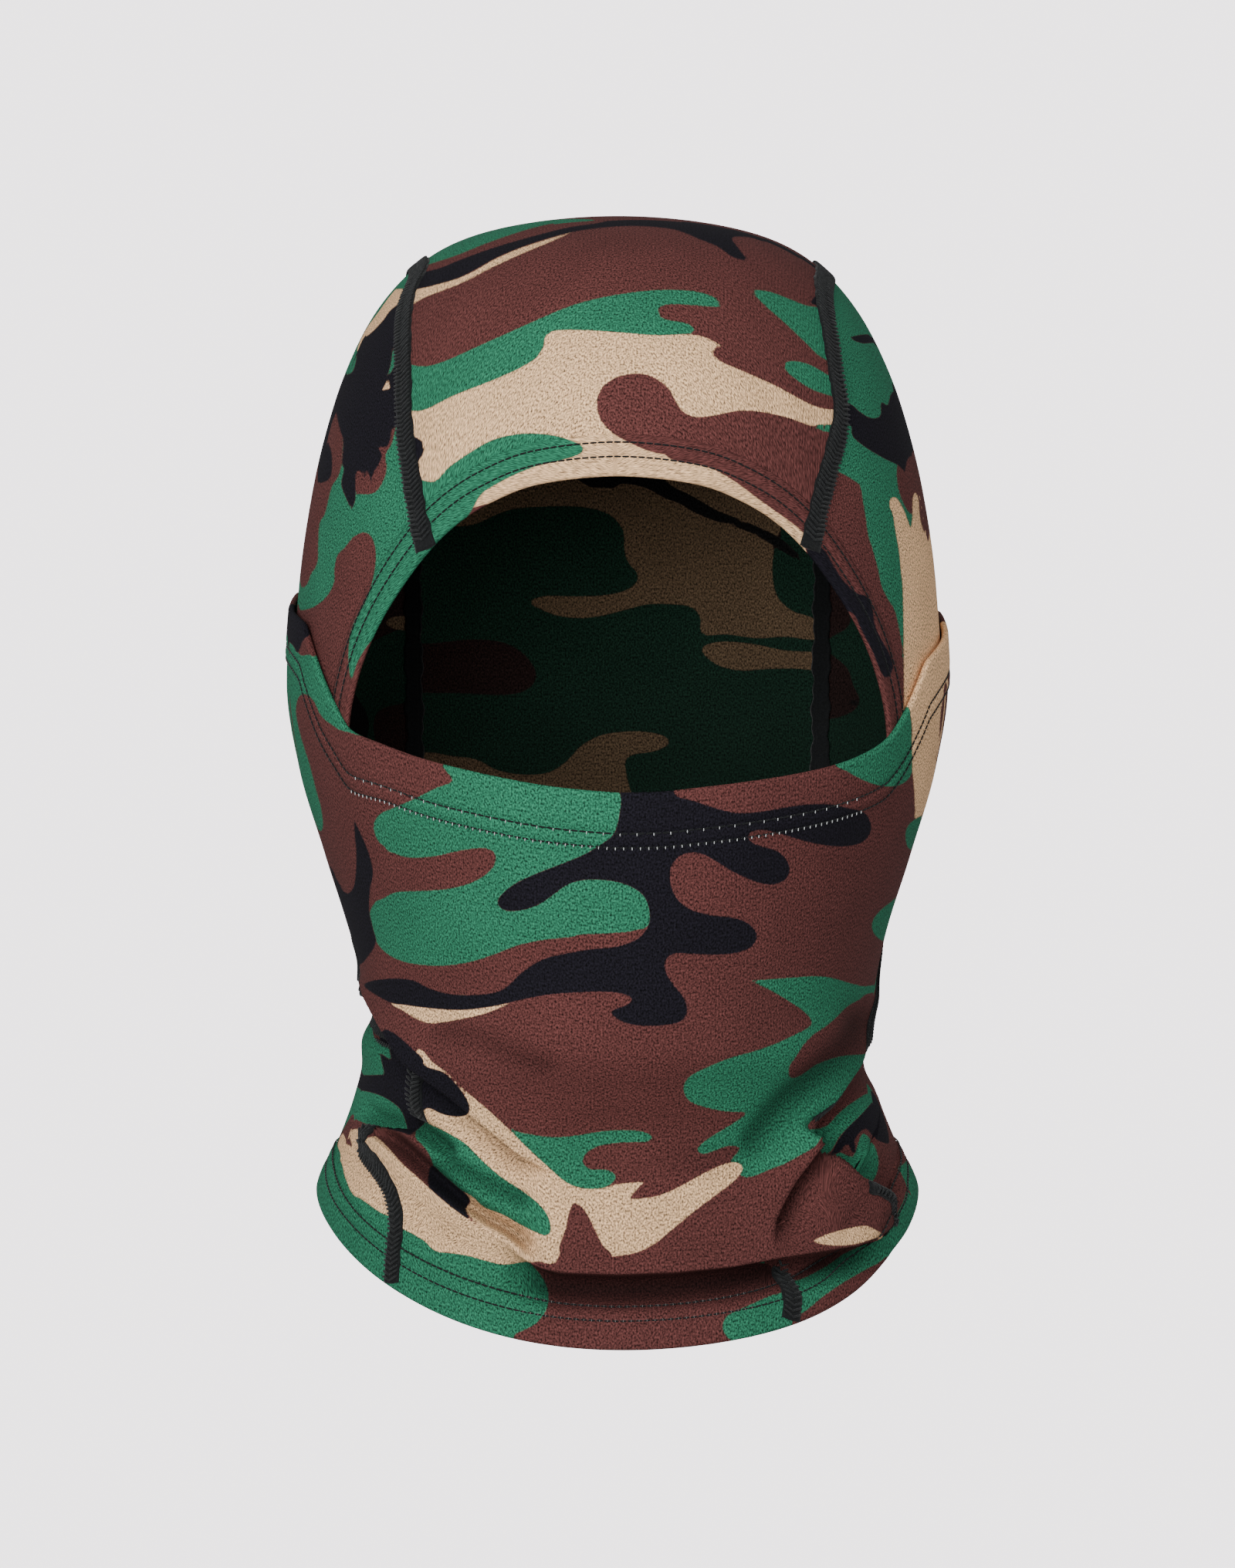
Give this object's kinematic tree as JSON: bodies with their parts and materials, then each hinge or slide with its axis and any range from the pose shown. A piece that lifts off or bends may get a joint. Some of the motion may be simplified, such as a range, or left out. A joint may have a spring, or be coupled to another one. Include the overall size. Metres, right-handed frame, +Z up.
{
  "type": "balaclava",
  "caption": "Hinged balaclava of camouflage stretch knit with a centre strip, black flatlock seams, an arched face opening and a fold-down cover over nose and mouth.",
  "frame": {"origin": "middle of the wearer's head at the level of the ear lobes, where the head fills the hood", "axes": "+Z up, the face looks along -Y, +X is the wearer's left"},
  "size_m": [0.1808, 0.2194, 0.2893],
  "materials": {
    "camouflage_knit": "matte fine knit, printed in green, brown, tan and black",
    "black_thread": "matte textured thread",
    "label_tape": "satin woven tape"
  },
  "bodies": {
    "hood": {"crown_panel": "camouflage_knit", "left_side_panel": "camouflage_knit", "right_side_panel": "camouflage_knit", "chin_panel": "camouflage_knit", "front_neck_panel": "camouflage_knit", "face_opening_hem": "camouflage_knit", "bottom_hem": "camouflage_knit", "left_crown_seam": "black_thread", "right_crown_seam": "black_thread", "left_neck_seam": "black_thread", "right_neck_seam": "black_thread", "opening_stitch_inner": "black_thread", "opening_stitch_outer": "black_thread", "bottom_stitch_lower": "black_thread", "bottom_stitch_upper": "black_thread", "left_cover_tack": "black_thread", "right_cover_tack": "black_thread", "care_label": "label_tape"},
    "cover": {"face_cover": "camouflage_knit", "cover_hem": "camouflage_knit", "cover_stitch_upper": "black_thread", "cover_stitch_lower": "black_thread"}
  },
  "joints": [
    {"name": "cover_fold", "type": "hinge", "parent": "hood", "child": "cover", "pos_m": [0, 0.01, -0.015], "axis": [1, 0, 0], "range_deg": [-8, 25]}
  ]
}
